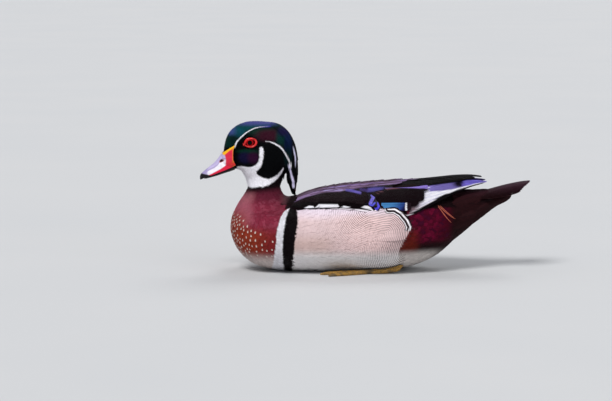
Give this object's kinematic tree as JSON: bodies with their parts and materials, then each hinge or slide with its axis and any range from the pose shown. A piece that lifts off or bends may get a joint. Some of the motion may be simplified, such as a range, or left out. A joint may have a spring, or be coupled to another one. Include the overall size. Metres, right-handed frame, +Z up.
{
  "type": "wood duck drake",
  "caption": "Still life-size model of a male wood duck at rest with folded wings and tucked feet, lying on its belly, for a water, park or museum scene.",
  "frame": {"origin": "middle of the bird's length and width, on the surface its belly and feet lie on", "axes": "+Z up, the bill points along -X and the tail along +X, the bird's left side faces -Y"},
  "size_m": [0.3621, 0.1442, 0.1647],
  "materials": {
    "torso": "soft body feathers: burgundy breast, buff barred flanks, dark rump, pale belly",
    "neck": "short black and maroon neck feathers",
    "head": "very short glossy green, blue and violet feathers with white lines",
    "crest": "long glossy green and violet crest feathers with white lines",
    "bill_upper": "satin bare horn, red at the base with a yellow border, white sides, black ridge and tip",
    "bill_lower": "satin black horn",
    "eye": "wet red eye with a round black pupil",
    "wing": "folded flight feathers, black with violet, bronze and blue gloss and white edges",
    "tail": "dark brown-black tail feathers with a faint violet gloss",
    "leg": "dull yellow scaled skin with dark webs and claws"
  },
  "bodies": {
    "root": {"torso": "torso", "neck": "neck", "head": "head", "crest": "crest", "bill_upper": "bill_upper", "bill_lower": "bill_lower", "eye_left": "eye", "eye_right": "eye", "wing_left": "wing", "wing_right": "wing", "tail": "tail", "leg_left": "leg", "leg_right": "leg", "foot_left": "leg", "foot_right": "leg"}
  },
  "joints": []
}
